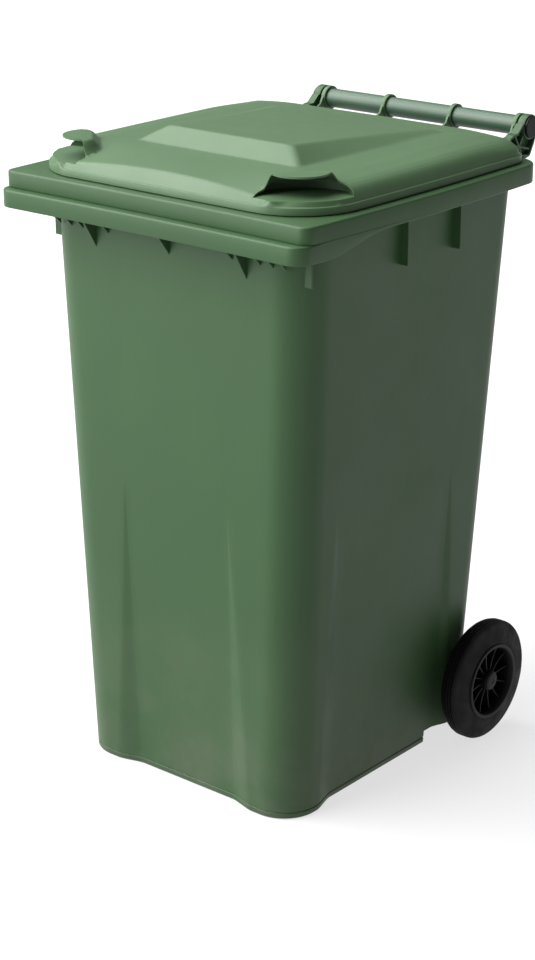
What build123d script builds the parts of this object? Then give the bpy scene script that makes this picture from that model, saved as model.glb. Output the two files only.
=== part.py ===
from build123d import *
from math import cos, radians, sin
import os

os.makedirs("parts", exist_ok=True)

# A two-wheeled litter bin: container, hinged lid, handle tube, axle and two wheels.
# Millimetres, +Z up, front towards -Y, the origin on the ground under the centre of the bin.

# Shared by the cuts and the joints between forms
OVERLAP = 1.0
BEYOND = 300.0

# Container walls
WALL = 4.0
FLOOR = 5.0
RIM_TOP_Z = 951.0
BASE_HALF_WIDTH = 218.0
BASE_FRONT_Y = -273.0
BASE_REAR_Y = 188.0
MOUTH_HALF_WIDTH = 256.0
MOUTH_FRONT_Y = -288.0
MOUTH_REAR_Y = 237.0
FRONT_CORNER_R = 60.0
REAR_CORNER_R = 45.0

# Shallow recesses that leave a bulging column at each lower corner
RECESS_TOP_Z = 487.0
RECESS_DEPTH = 11.0
RECESS_TOP_DEPTH = 0.3
RECESS_CLEAR = 6.0
FRONT_RECESS_OUTER = 139.0
FRONT_RECESS_INNER = 95.0
FRONT_RECESS_TOP = 104.0
FRONT_RECESS_INNER_TOP = 103.0
SIDE_RECESS_OUTER_Y = (-204.0, 135.0)
SIDE_RECESS_INNER_Y = (-160.0, 100.0)
SIDE_RECESS_TOP_Y = (-184.0, 118.0)
SIDE_RECESS_FLANK = 1.0

# Rim collar, comb band in front and skirt at the sides
RIM_HALF_WIDTH = 290.0
RIM_SIDE_BOW = 8.5
RIM_FRONT_HOLLOW = 4.0
RIM_FRONT_Y = -330.0
RIM_REAR_Y = 240.0
RIM_FRONT_R = 16.0
RIM_REAR_R = 38.0
COMB_FRONT_Y = -346.0
COMB_FRONT_R = 24.0
COMB_TOP_Z = RIM_TOP_Z - 25.5
COMB_BOTTOM_Z = RIM_TOP_Z - 52.0
SKIRT_BOTTOM_Z = RIM_TOP_Z - 30.0
SKIRT_CURVE_START_Y = -290.0
SKIRT_CURVE_END_Y = -150.0
SKIRT_START_SLOPE = 0.1
SKIRT_CLEAR = 20.0

# Ribs under the collar
RIB_THICK = 4.0
RIB_FOOT_Z = 848.0
RIB_TOP_Z = RIM_TOP_Z - 2.0
TOOTH_FRONT_Y = RIM_FRONT_Y + 5.0
TOOTH_BEND_Z = COMB_TOP_Z - 2.0
TOOTH_SHOULDER_Y = RIM_FRONT_Y + 12.0
LARGE_TEETH = ((-146.0, 848.0), (0.0, 860.0), (146.0, 848.0))
SMALL_TOOTH_X = (120.0, 172.0, 195.0, 218.0)
SMALL_TOOTH_FOOT_Z = 872.0
SMALL_TOOTH_SHOULDER_Z = COMB_BOTTOM_Z + 4.0
SIDE_FIN_Y = (-69.0, 61.0)
SIDE_FIN_INNER_X = MOUTH_HALF_WIDTH - 6.0
SIDE_FIN_OUTER_X = 272.0
SIDE_FIN_SHOULDER_Z = SKIRT_BOTTOM_Z + 2.0
SIDE_FIN_TOP_X = RIM_HALF_WIDTH + 3.0
CORNER_FIN_Y = -267.0
CORNER_FIN_INNER_X = 225.0
CORNER_FIN_OUTER_X = 249.0

# Handle tube, which is also the pin of the lid's hinge
HANDLE_Y = 326.0
HANDLE_Z = 979.5
HANDLE_R = 15.5
HANDLE_BORE_R = 13.5
HANDLE_HALF_LENGTH = 208.0
RING_R = 19.7
BRACKET_INNER_X = 197.0
BRACKET_WEB = 4.0
BRACKET_OUTER_X = 210.0
BRACKET_LIP = 3.5
# The bracket's side view and its lattice ribs, as (y, z) from the tube's centre
BRACKET_OUTLINE = (
    (-90.0, -29.5),
    (-80.0, -28.5),
    (-50.0, -11.0),
    (-42.0, -7.0),
    (-30.0, -6.0),
    (-17.0, 4.0),
    (0.0, 0.0),
    (19.1, -4.0),
    (8.0, -26.0),
    (-2.0, -44.0),
    (-76.0, -58.5),
    (-90.0, -58.5),
)
BRACKET_LATTICE = (
    ((-56.0, -20.0), (-4.0, -34.0)),
    ((-74.0, -36.5), (-8.0, -46.0)),
    ((-42.0, -9.0), (-24.0, -36.5)),
    ((-20.0, -12.0), (-46.0, -48.5)),
)
PLUG_R = 17.0
PLUG_SPIGOT_R = HANDLE_BORE_R - 0.05
PLUG_SEAT = 0.1
PLUG_HEAD = 4.0
PLUG_DEPTH = 24.0
PLUG_CHAMFER = 1.0

# Lid
LID_GAP = 1.5
LID_HALF_WIDTH = 275.0
LID_SIDE_BOW = 6.0
LID_FRONT_Y = -307.0
LID_REAR_Y = 232.0
LID_FRONT_R = 100.0
LID_REAR_R = 42.0
LID_LEAST_FRONT_R = 22.0
LID_LEAST_REAR_R = 18.0
LID_FRONT_HOLLOW = 0.01
LID_FLANGE = 10.5
LID_WALL = 3.0
LID_STEPS = ((0.0, 0.0), (7.0, 11.0), (15.0, 17.0), (28.0, 21.5), (55.0, 26.0), (100.0, 28.5))
PANEL_FOOT_HALF_WIDTH = 177.0
PANEL_TOP_HALF_WIDTH = 121.0
PANEL_FRONT_FOOT_Y = -192.5
PANEL_FRONT_TOP_Y = -153.0
PANEL_REAR_Y = 150.0
PANEL_FOOT_Z = 984.0
PANEL_FRONT_Z = 1014.0
PANEL_REAR_Z = 997.0
HINGE_ARM_X = (-190.0, -66.0, 66.0, 190.0)
HINGE_ARM = 4.0
# A hinge arm's side view, as (y, z) from the tube's centre
HINGE_ARM_OUTLINE = (
    (-106.0, -23.0),
    (-28.0, -22.0),
    (0.0, -19.1),
    (-12.0, 9.0),
    (-23.0, -6.0),
    (-36.0, -13.0),
    (-106.0, -15.0),
)
RUNNING_GAP = 0.06

# Grip pockets in the lid's front corners, turned 45 degrees towards the corner
GRIP_CENTRE_X = LID_HALF_WIDTH - LID_FRONT_R
GRIP_CENTRE_Y = LID_FRONT_Y + LID_FRONT_R
POCKET_FLOOR_Z = 970.0
POCKET_HALF_WIDTH = 72.0
POCKET_REACH = 57.0
POCKET_DEPTH = 52.0
POCKET_OUT = 140.0
POCKET_TALL = 80.0
WING_REACH = 42.0
HOOD_REACH = 34.0
HOOD_R = 45.0
HOOD_TOP_Z = 1001.0
HOOD_WALL = 3.5
HOOD_FOOT_Z = 972.0
HOOD_BACK_REACH = 0.0
HOOD_BACK_Z = 984.0
HOOD_CREST_REACH = 42.0

# Axle and wheels
AXLE_Y = 176.0
AXLE_Z = 100.0
AXLE_R = 10.0
AXLE_HALF_LENGTH = 268.0
AXLE_CHAMFER = 1.5
AXLE_BORE_R = AXLE_R + 0.05
BAY_FRONT_Y = 85.0
BAY_TOP_Z = 22.0
TUNNEL_FRONT_Y = 128.0
TUNNEL_TOP_Z = 150.0
TUNNEL_HALF_WIDTH = 150.0
BOSS_HOLLOW_X = (154.0, 196.0)
BOSS_HOLLOW_REAR_Y = 184.0
BOSS_R = 18.0
BOSS_END_X = 221.0
WASHER_X = (221.3, 223.8)
WASHER_R = 16.0
HUB_X = (224.2, 275.0)
HUB_R = 17.0
WEB_X = (240.0, 244.0)
BAND_X = (236.0, 280.0)
BAND_R = (56.0, 60.5)
RIM_LIP_R = 63.0
RIM_LIP_X = 277.5
SPOKES = 12
SPOKE_THICK = 3.0
SPOKE_OUTER_X = 268.0
TYRE_PROFILE = (
    (238.0, 60.5),
    (238.0, 86.0),
    (242.0, 93.0),
    (248.0, 98.0),
    (253.0, 100.0),
    (266.0, 100.0),
    (270.5, 97.5),
    (275.0, 80.0),
    (277.5, 66.0),
    (277.5, 60.5),
)
TYRE_R = 100.0
TREAD_GROOVE_X = (254.5, 259.5, 264.5)
TREAD_GROOVE_WIDTH = 2.0
TREAD_GROOVE_DEPTH = 2.5
CAP_R = 15.0
CAP_HEAD = 3.0
CAP_SPIGOT_R = 10.0
CAP_SPIGOT = 3.0

# Latch in each hub: a sprung plunger that snaps into a ring groove of the axle
LATCH_X = 231.0
LATCH_GROOVE_WIDTH = 7.0
LATCH_GROOVE_DEPTH = 2.0
LATCH_TOWER_R = 6.5
LATCH_TOWER_FOOT = 14.0
LATCH_TOWER_TOP = 34.0
LATCH_BORE_TOP = 32.0
PLUNGER_R = 3.0
PLUNGER_GAP = 0.06
PLUNGER_TIP = 8.4
PLUNGER_TOP = 18.0
PLUNGER_CHAMFER = 0.5
SPRING_R = 2.2
SPRING_WIRE_R = 0.4
SPRING_COILS = 6
SPRING_END_GAP = 0.15


def between(low, high, share):
    """The value at a share of the way from low to high."""
    return low + (high - low) * share


def tub_section(level, inset):
    """The container's rounded rectangle at one height, moved inwards by inset."""
    share = level / RIM_TOP_Z
    half_width = between(BASE_HALF_WIDTH, MOUTH_HALF_WIDTH, share) - inset
    front_y = between(BASE_FRONT_Y, MOUTH_FRONT_Y, share) + inset
    rear_y = between(BASE_REAR_Y, MOUTH_REAR_Y, share) - inset
    with BuildSketch(Plane.XY.offset(level)) as section:
        with Locations((0, (front_y + rear_y) / 2)):
            Rectangle(2 * half_width, rear_y - front_y)
        fillet(section.vertices().group_by(Axis.Y)[0], FRONT_CORNER_R - inset)
        fillet(section.vertices().group_by(Axis.Y)[-1], REAR_CORNER_R - inset)
    return section.sketch


def recess_share(level):
    """1 at the ground, where the recess is deepest, and 0 where it fades out."""
    return 1 - level / RECESS_TOP_Z


def front_recess_section(level, inset):
    """The front recess in plan at one height, for the wall face that lies inset inside."""
    share = recess_share(level)
    face_y = between(BASE_FRONT_Y, MOUTH_FRONT_Y, level / RIM_TOP_Z) + inset
    depth = between(RECESS_TOP_DEPTH, RECESS_DEPTH, share)
    outer = between(FRONT_RECESS_TOP, FRONT_RECESS_OUTER, share)
    inner = between(FRONT_RECESS_INNER_TOP, FRONT_RECESS_INNER, share)
    corners = [
        (-outer, face_y - RECESS_CLEAR),
        (outer, face_y - RECESS_CLEAR),
        (outer, face_y),
        (inner, face_y + depth),
        (-inner, face_y + depth),
        (-outer, face_y),
    ]
    with BuildSketch(Plane.XY.offset(level)) as section:
        with BuildLine():
            Polyline(corners, close=True)
        make_face()
    return section.sketch


def side_recess_section(level, inset, side):
    """The recess of one side wall in plan at one height; side is 1 on +X and -1 on -X."""
    share = recess_share(level)
    face_x = between(BASE_HALF_WIDTH, MOUTH_HALF_WIDTH, level / RIM_TOP_Z) - inset
    depth = between(RECESS_TOP_DEPTH, RECESS_DEPTH, share)
    outer = [between(SIDE_RECESS_TOP_Y[end], SIDE_RECESS_OUTER_Y[end], share) for end in (0, 1)]
    inner = [between(SIDE_RECESS_TOP_Y[end], SIDE_RECESS_INNER_Y[end], share) for end in (0, 1)]
    corners = [
        (side * (face_x + RECESS_CLEAR), outer[0]),
        (side * face_x, outer[0]),
        (side * (face_x - depth), inner[0] + SIDE_RECESS_FLANK),
        (side * (face_x - depth), inner[1] - SIDE_RECESS_FLANK),
        (side * face_x, outer[1]),
        (side * (face_x + RECESS_CLEAR), outer[1]),
    ]
    with BuildSketch(Plane.XY.offset(level)) as section:
        with BuildLine():
            Polyline(corners, close=True)
        make_face()
    return section.sketch


def cut_recesses(bottom, inset):
    """Take the three shallow recesses out of the tub that is being built."""
    for section in (
        front_recess_section,
        lambda level, inset: side_recess_section(level, inset, 1),
        lambda level, inset: side_recess_section(level, inset, -1),
    ):
        faces = [section(bottom, inset).face(), section(RECESS_TOP_Z, inset).face()]
        loft(faces, ruled=True, mode=Mode.SUBTRACT)


def bowed_outline(level, half_width, bow, front_y, hollow, rear_y, front_r, rear_r):
    """A rounded rectangle whose sides bow out a little and whose front may be hollow."""
    middle_y = (front_y + rear_y) / 2
    with BuildSketch(Plane.XY.offset(level)) as outline:
        with BuildLine():
            ThreePointArc((-half_width, front_y), (0, front_y + hollow), (half_width, front_y))
            ThreePointArc(
                (half_width, front_y), (half_width + bow, middle_y), (half_width, rear_y)
            )
            Line((half_width, rear_y), (-half_width, rear_y))
            ThreePointArc(
                (-half_width, rear_y), (-half_width - bow, middle_y), (-half_width, front_y)
            )
        make_face()
        fillet(outline.vertices().group_by(Axis.Y)[0], front_r)
        fillet(outline.vertices().group_by(Axis.Y)[-1], rear_r)
    return outline.sketch


def rim_outline(level, inset, front_y, front_r):
    """The collar's outline at one height."""
    return bowed_outline(
        level,
        RIM_HALF_WIDTH - inset,
        RIM_SIDE_BOW,
        front_y + inset,
        RIM_FRONT_HOLLOW,
        RIM_REAR_Y - inset,
        front_r - inset,
        RIM_REAR_R - inset,
    )


def box_between(low, high, mode=Mode.ADD):
    """A box from one corner to the opposite one."""
    centre = [(low[axis] + high[axis]) / 2 for axis in range(3)]
    size = [high[axis] - low[axis] for axis in range(3)]
    with Locations(tuple(centre)):
        Box(*size, mode=mode)


def side_plate(x_low, x_high, corners, mode=Mode.ADD):
    """A flat plate with a Y-Z outline, between two X positions."""
    with BuildSketch(Plane.YZ.offset(x_low)) as outline:
        with BuildLine():
            Polyline(corners, close=True)
        make_face()
    extrude(outline.sketch, amount=x_high - x_low, mode=mode)


def front_plate(y_low, thick, corners):
    """A flat plate with an X-Z outline, thick in Y; its outline is given as (x, z) points."""
    with BuildSketch(Plane.XZ.offset(-y_low - thick)) as outline:
        with BuildLine():
            Polyline(corners, close=True)
        make_face()
    extrude(outline.sketch, amount=thick)


# Container: outer and inner forms first, then the shell with its collar and bosses
with BuildPart() as outer_tub:
    loft([tub_section(0, 0).face(), tub_section(RIM_TOP_Z, 0).face()], ruled=True)
    cut_recesses(-OVERLAP, 0)
    box_between(
        (-BEYOND, BAY_FRONT_Y, -OVERLAP), (BEYOND, BEYOND, BAY_TOP_Z), Mode.SUBTRACT
    )
    box_between(
        (-TUNNEL_HALF_WIDTH, TUNNEL_FRONT_Y, -OVERLAP),
        (TUNNEL_HALF_WIDTH, BEYOND, TUNNEL_TOP_Z),
        Mode.SUBTRACT,
    )
    for side in (1, -1):
        x_low, x_high = sorted(side * x for x in BOSS_HOLLOW_X)
        box_between(
            (x_low, TUNNEL_FRONT_Y, -OVERLAP),
            (x_high, BOSS_HOLLOW_REAR_Y, TUNNEL_TOP_Z),
            Mode.SUBTRACT,
        )

with BuildPart() as inner_tub:
    mouth_section = tub_section(RIM_TOP_Z + OVERLAP, WALL)
    loft([tub_section(FLOOR, WALL).face(), mouth_section.face()], ruled=True)
    cut_recesses(FLOOR - OVERLAP, WALL)
    box_between(
        (-BEYOND, BAY_FRONT_Y - WALL, 0), (BEYOND, BEYOND, BAY_TOP_Z + WALL), Mode.SUBTRACT
    )
    box_between(
        (-BEYOND, TUNNEL_FRONT_Y - WALL, 0),
        (BEYOND, BEYOND, TUNNEL_TOP_Z + WALL),
        Mode.SUBTRACT,
    )


def skirt_profile():
    """What the side view leaves open under the collar, behind the comb band."""
    start = (SKIRT_CURVE_START_Y, COMB_BOTTOM_Z)
    end = (SKIRT_CURVE_END_Y, SKIRT_BOTTOM_Z)
    behind = RIM_REAR_Y + SKIRT_CLEAR
    below_z = COMB_BOTTOM_Z - SKIRT_CLEAR
    with BuildSketch(Plane.YZ.offset(-BEYOND)) as below:
        with BuildLine():
            Spline(start, end, tangents=((1, SKIRT_START_SLOPE), (1, 0)))
            Polyline(
                end,
                (behind, SKIRT_BOTTOM_Z),
                (behind, below_z),
                (SKIRT_CURVE_START_Y, below_z),
                start,
            )
        make_face()
    return below.sketch


with BuildPart() as collar:
    hollow_foot_z = COMB_BOTTOM_Z - OVERLAP
    extrude(
        rim_outline(COMB_BOTTOM_Z, 0, COMB_FRONT_Y, COMB_FRONT_R),
        amount=COMB_TOP_Z - COMB_BOTTOM_Z,
    )
    extrude(
        rim_outline(COMB_TOP_Z, 0, RIM_FRONT_Y, RIM_FRONT_R),
        amount=RIM_TOP_Z - COMB_TOP_Z,
    )
    extrude(
        rim_outline(hollow_foot_z, WALL, COMB_FRONT_Y, COMB_FRONT_R),
        amount=COMB_TOP_Z - WALL - hollow_foot_z,
        mode=Mode.SUBTRACT,
    )
    extrude(
        rim_outline(hollow_foot_z, WALL, RIM_FRONT_Y, RIM_FRONT_R),
        amount=RIM_TOP_Z - WALL - hollow_foot_z,
        mode=Mode.SUBTRACT,
    )
    extrude(skirt_profile(), amount=2 * BEYOND, mode=Mode.SUBTRACT)


def front_tooth(x, foot_z, shoulder_z):
    """A gusset between the front wall and the comb band."""
    wall_y = MOUTH_FRONT_Y + OVERLAP
    corners = [
        (wall_y, foot_z),
        (wall_y, RIB_TOP_Z),
        (TOOTH_FRONT_Y, RIB_TOP_Z),
        (TOOTH_FRONT_Y, TOOTH_BEND_Z),
        (TOOTH_SHOULDER_Y, shoulder_z),
    ]
    side_plate(x - RIB_THICK / 2, x + RIB_THICK / 2, corners)


def from_tube(points):
    """Move (y, z) points given from the tube's centre to their place in the bin."""
    return [(HANDLE_Y + y, HANDLE_Z + z) for y, z in points]


def round_bar(y, z, radius, x_low, x_high, mode=Mode.ADD):
    """A cylinder along X."""
    with BuildSketch(Plane.YZ.offset(x_low)) as disc:
        with Locations((y, z)):
            Circle(radius)
    extrude(disc.sketch, amount=x_high - x_low, mode=mode)


def bracket(side):
    """One end bracket of the handle: a web, an edge lip, lattice ribs and the tube's boss."""
    outline = from_tube(BRACKET_OUTLINE)
    web = sorted((side * BRACKET_INNER_X, side * (BRACKET_INNER_X + BRACKET_WEB)))
    full = sorted((side * BRACKET_INNER_X, side * BRACKET_OUTER_X))
    side_plate(web[0], web[1], outline)
    for start, end in zip(outline, outline[1:] + outline[:1]):
        lip_bar(start, end, full)
    for rib in BRACKET_LATTICE:
        start, end = from_tube(rib)
        lip_bar(start, end, full)
    round_bar(HANDLE_Y, HANDLE_Z, RING_R, full[0], full[1])


def lip_bar(start, end, span):
    """A thin bar of the bracket from one (y, z) point to another, across its width in X."""
    along = Vector(end[0] - start[0], end[1] - start[1]).normalized()
    across = Vector(-along.Y, along.X) * (BRACKET_LIP / 2)
    corners = [
        (start[0] + across.X, start[1] + across.Y),
        (end[0] + across.X, end[1] + across.Y),
        (end[0] - across.X, end[1] - across.Y),
        (start[0] - across.X, start[1] - across.Y),
    ]
    side_plate(span[0], span[1], corners)


with BuildPart() as container:
    add(outer_tub.part)
    add(collar.part)
    for tooth_x, foot_z in LARGE_TEETH:
        front_tooth(tooth_x, foot_z, COMB_BOTTOM_Z)
    for tooth_x in SMALL_TOOTH_X:
        for side in (1, -1):
            front_tooth(side * tooth_x, SMALL_TOOTH_FOOT_Z, SMALL_TOOTH_SHOULDER_Z)
    for fin_y in SIDE_FIN_Y:
        for side in (1, -1):
            corners = [
                (side * SIDE_FIN_INNER_X, RIB_FOOT_Z),
                (side * SIDE_FIN_OUTER_X, RIB_FOOT_Z),
                (side * SIDE_FIN_OUTER_X, SIDE_FIN_SHOULDER_Z),
                (side * SIDE_FIN_TOP_X, SIDE_FIN_SHOULDER_Z),
                (side * SIDE_FIN_TOP_X, RIB_TOP_Z),
                (side * SIDE_FIN_INNER_X, RIB_TOP_Z),
            ]
            front_plate(fin_y, RIB_THICK, corners)
    for side in (1, -1):
        corners = [
            (side * CORNER_FIN_INNER_X, RIB_FOOT_Z),
            (side * CORNER_FIN_OUTER_X, RIB_FOOT_Z),
            (side * CORNER_FIN_OUTER_X, RIB_TOP_Z),
            (side * CORNER_FIN_INNER_X, RIB_TOP_Z),
        ]
        front_plate(CORNER_FIN_Y, RIB_THICK, corners)
        bracket(side)
    add(inner_tub.part, mode=Mode.SUBTRACT)
    for side in (1, -1):
        boss = sorted((side * TUNNEL_HALF_WIDTH, side * BOSS_END_X))
        round_bar(AXLE_Y, AXLE_Z, BOSS_R, boss[0], boss[1])
        hollow = sorted(side * x for x in BOSS_HOLLOW_X)
        box_between(
            (hollow[0], AXLE_Y - RIB_THICK / 2, BAY_TOP_Z),
            (hollow[1], AXLE_Y + RIB_THICK / 2, TUNNEL_TOP_Z),
        )
    bore_end_x = BOSS_END_X + OVERLAP
    round_bar(AXLE_Y, AXLE_Z, AXLE_BORE_R, -bore_end_x, bore_end_x, Mode.SUBTRACT)
    round_bar(
        HANDLE_Y,
        HANDLE_Z,
        HANDLE_R + RUNNING_GAP,
        -BRACKET_OUTER_X - OVERLAP,
        BRACKET_OUTER_X + OVERLAP,
        Mode.SUBTRACT,
    )


def lid_form(inset, bottom):
    """The lid as a solid: an upright flange, then a crown in narrowing steps."""
    flange_z = RIM_TOP_Z + LID_GAP + LID_FLANGE - inset
    sections = []
    for step_in, step_up in LID_STEPS:
        cut = inset + step_in
        sections.append(
            bowed_outline(
                flange_z + step_up,
                LID_HALF_WIDTH - cut,
                LID_SIDE_BOW,
                LID_FRONT_Y + cut,
                LID_FRONT_HOLLOW,
                LID_REAR_Y - cut,
                max(LID_FRONT_R - cut, LID_LEAST_FRONT_R),
                max(LID_REAR_R - cut, LID_LEAST_REAR_R),
            ).face()
        )
    base = bowed_outline(
        bottom,
        LID_HALF_WIDTH - inset,
        LID_SIDE_BOW,
        LID_FRONT_Y + inset,
        LID_FRONT_HOLLOW,
        LID_REAR_Y - inset,
        LID_FRONT_R - inset,
        LID_REAR_R - inset,
    )
    extrude(base, amount=flange_z - bottom)
    for lower, upper in zip(sections, sections[1:]):
        loft([lower, upper], ruled=True)


def panel_form(inset):
    """The raised centre panel: a side view cut to a front view."""
    with BuildSketch(Plane.YZ.offset(-PANEL_FOOT_HALF_WIDTH)) as side_view:
        with BuildLine():
            Polyline(
                (PANEL_FRONT_FOOT_Y + inset, PANEL_FOOT_Z - inset),
                (PANEL_FRONT_TOP_Y + inset, PANEL_FRONT_Z - inset),
                (PANEL_REAR_Y, PANEL_REAR_Z - inset),
                (PANEL_REAR_Y, PANEL_FOOT_Z - inset),
                close=True,
            )
        make_face()
    with BuildSketch(Plane.XZ.offset(-PANEL_REAR_Y)) as front_view:
        with BuildLine():
            Polyline(
                (-PANEL_FOOT_HALF_WIDTH + inset, PANEL_FOOT_Z - inset),
                (PANEL_FOOT_HALF_WIDTH - inset, PANEL_FOOT_Z - inset),
                (PANEL_TOP_HALF_WIDTH - inset, PANEL_FRONT_Z - inset),
                (-PANEL_TOP_HALF_WIDTH + inset, PANEL_FRONT_Z - inset),
                close=True,
            )
        make_face()
    extrude(side_view.sketch, amount=2 * PANEL_FOOT_HALF_WIDTH)
    extrude(
        front_view.sketch, amount=PANEL_REAR_Y - PANEL_FRONT_FOOT_Y, mode=Mode.INTERSECT
    )


def corner_plane(level):
    """A level plane at the right front corner, its Y axis pointing out of that corner."""
    outwards = Vector(cos(radians(45)), -sin(radians(45)), 0)
    return Plane(
        origin=(GRIP_CENTRE_X, GRIP_CENTRE_Y, level),
        x_dir=outwards.cross(Vector(0, 0, 1)),
        z_dir=(0, 0, 1),
    )


def pocket_outline(level, margin):
    """A grip pocket in plan: half an ellipse behind, straight out through the corner."""
    half_width = POCKET_HALF_WIDTH + margin
    with BuildSketch(corner_plane(level)) as pocket:
        with Locations((0, POCKET_REACH)):
            Ellipse(half_width, POCKET_DEPTH + margin)
        with Locations((0, (POCKET_REACH + POCKET_OUT) / 2)):
            Rectangle(2 * half_width, POCKET_OUT - POCKET_REACH)
    return pocket.sketch


def pocket_mouth(level):
    """The part of a grip pocket that is open upwards: outside its wings and its hood."""
    corners = [
        (-POCKET_HALF_WIDTH, POCKET_REACH),
        (-HOOD_R, WING_REACH),
        (HOOD_R, WING_REACH),
        (POCKET_HALF_WIDTH, POCKET_REACH),
        (POCKET_HALF_WIDTH, POCKET_OUT),
        (-POCKET_HALF_WIDTH, POCKET_OUT),
    ]
    with BuildSketch(corner_plane(level)) as mouth:
        with BuildLine():
            Polyline(corners, close=True)
        make_face()
        with Locations((0, HOOD_REACH)):
            Circle(HOOD_R, mode=Mode.SUBTRACT)
    return mouth.sketch


def hood_form(inset):
    """The right hood as a solid: a ramp that rises towards the corner, round in plan."""
    tip = HOOD_REACH + HOOD_R
    ramp = [
        (HOOD_BACK_REACH, HOOD_FOOT_Z - inset),
        (HOOD_BACK_REACH, HOOD_BACK_Z - inset),
        (HOOD_CREST_REACH, HOOD_TOP_Z - inset),
        (tip, HOOD_TOP_Z - inset),
        (tip, HOOD_FOOT_Z - inset),
    ]
    level = corner_plane(0)
    with BuildSketch(Plane(level.origin, x_dir=level.y_dir, z_dir=level.x_dir)) as side_view:
        with BuildLine():
            Polyline(*ramp, close=True)
        make_face()
    with BuildSketch(corner_plane(HOOD_FOOT_Z - inset)) as plan:
        with Locations((0, HOOD_REACH)):
            Circle(HOOD_R - inset)
    extrude(side_view.sketch, amount=HOOD_R, both=True)
    extrude(plan.sketch, amount=HOOD_TOP_Z - HOOD_FOOT_Z, mode=Mode.INTERSECT)


with BuildPart() as panel_outer:
    panel_form(0)

with BuildPart() as panel_inner:
    panel_form(LID_WALL)

with BuildPart() as hood:
    hood_form(0)

with BuildPart() as hood_hollow:
    hood_form(HOOD_WALL)

with BuildPart() as crown_inner:
    lid_form(LID_WALL, RIM_TOP_Z)
    add(panel_inner.part)

# The space of a grip pocket: under the crown and the hood, and open outside them
with BuildPart() as pocket:
    add(crown_inner.part)
    add(hood_hollow.part)
    extrude(
        pocket_outline(POCKET_FLOOR_Z, 0), amount=POCKET_TALL, mode=Mode.INTERSECT
    )
    extrude(pocket_mouth(POCKET_FLOOR_Z), amount=POCKET_TALL)

# The space under the lid, which goes round the pocket and its wall
with BuildPart() as lid_inner:
    add(crown_inner.part)
    extrude(
        pocket_outline(POCKET_FLOOR_Z - LID_WALL, LID_WALL),
        amount=POCKET_TALL,
        mode=Mode.SUBTRACT,
    )

with BuildPart() as right_half_lid:
    lid_form(0, RIM_TOP_Z + LID_GAP)
    add(panel_outer.part)
    add(hood.part)
    add(pocket.part, mode=Mode.SUBTRACT)
    add(lid_inner.part, mode=Mode.SUBTRACT)
    split(bisect_by=Plane.YZ, keep=Keep.TOP)


def hinge_arm(x):
    """One hinge arm of the lid, from its rear edge to the ring round the handle tube."""
    side_plate(x - HINGE_ARM / 2, x + HINGE_ARM / 2, from_tube(HINGE_ARM_OUTLINE))
    round_bar(HANDLE_Y, HANDLE_Z, RING_R, x - HINGE_ARM / 2, x + HINGE_ARM / 2)


with BuildPart() as lid:
    add(right_half_lid.part)
    mirror(right_half_lid.part, about=Plane.YZ)
    for arm_x in HINGE_ARM_X:
        hinge_arm(arm_x)
    ring_bore = HANDLE_R + RUNNING_GAP
    round_bar(
        HANDLE_Y, HANDLE_Z, ring_bore, -BRACKET_INNER_X, BRACKET_INNER_X, Mode.SUBTRACT
    )

# Handle tube and the plug in each of its ends
with BuildPart() as handle_tube:
    round_bar(HANDLE_Y, HANDLE_Z, HANDLE_R, -HANDLE_HALF_LENGTH, HANDLE_HALF_LENGTH)
    round_bar(
        HANDLE_Y,
        HANDLE_Z,
        HANDLE_BORE_R,
        -HANDLE_HALF_LENGTH,
        HANDLE_HALF_LENGTH,
        Mode.SUBTRACT,
    )

with BuildPart() as right_handle_plug:
    head_x = BRACKET_OUTER_X + PLUG_SEAT
    round_bar(HANDLE_Y, HANDLE_Z, PLUG_SPIGOT_R, head_x - PLUG_DEPTH, head_x)
    round_bar(HANDLE_Y, HANDLE_Z, PLUG_R, head_x, head_x + PLUG_HEAD)
    chamfer(right_handle_plug.edges().group_by(Axis.X)[-1], PLUG_CHAMFER)

with BuildPart() as left_handle_plug:
    mirror(right_handle_plug.part, about=Plane.YZ)

# Axle with a ring groove for each latch
axle_axis = Axis((0, AXLE_Y, AXLE_Z), (1, 0, 0))
axle_plane = Plane(origin=(0, AXLE_Y, AXLE_Z), x_dir=(1, 0, 0), z_dir=(0, -1, 0))

with BuildPart() as axle:
    round_bar(AXLE_Y, AXLE_Z, AXLE_R, -AXLE_HALF_LENGTH, AXLE_HALF_LENGTH)
    chamfer(axle.edges(), AXLE_CHAMFER)
    with BuildSketch(axle_plane) as groove:
        with Locations((LATCH_X, AXLE_R), (-LATCH_X, AXLE_R)):
            Rectangle(LATCH_GROOVE_WIDTH, 2 * LATCH_GROOVE_DEPTH)
    revolve(groove.sketch, axis=axle_axis, mode=Mode.SUBTRACT)

with BuildPart() as right_axle_washer:
    round_bar(AXLE_Y, AXLE_Z, WASHER_R, WASHER_X[0], WASHER_X[1])
    round_bar(AXLE_Y, AXLE_Z, AXLE_BORE_R, WASHER_X[0], WASHER_X[1], Mode.SUBTRACT)

with BuildPart() as left_axle_washer:
    mirror(right_axle_washer.part, about=Plane.YZ)


def ring_face(x_span, r_span):
    """A rectangle in the axle's plane that revolves into a ring."""
    with BuildSketch(axle_plane) as face:
        with Locations(((x_span[0] + x_span[1]) / 2, (r_span[0] + r_span[1]) / 2)):
            Rectangle(x_span[1] - x_span[0], r_span[1] - r_span[0])
    return face.sketch


def latch_bar(radius, bottom, top, mode=Mode.ADD):
    """An upright cylinder on the latch's line, between two heights above the axle."""
    with BuildSketch(Plane.XY.offset(AXLE_Z + bottom)) as disc:
        with Locations((LATCH_X, AXLE_Y)):
            Circle(radius)
    extrude(disc.sketch, amount=top - bottom, mode=mode)


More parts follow.
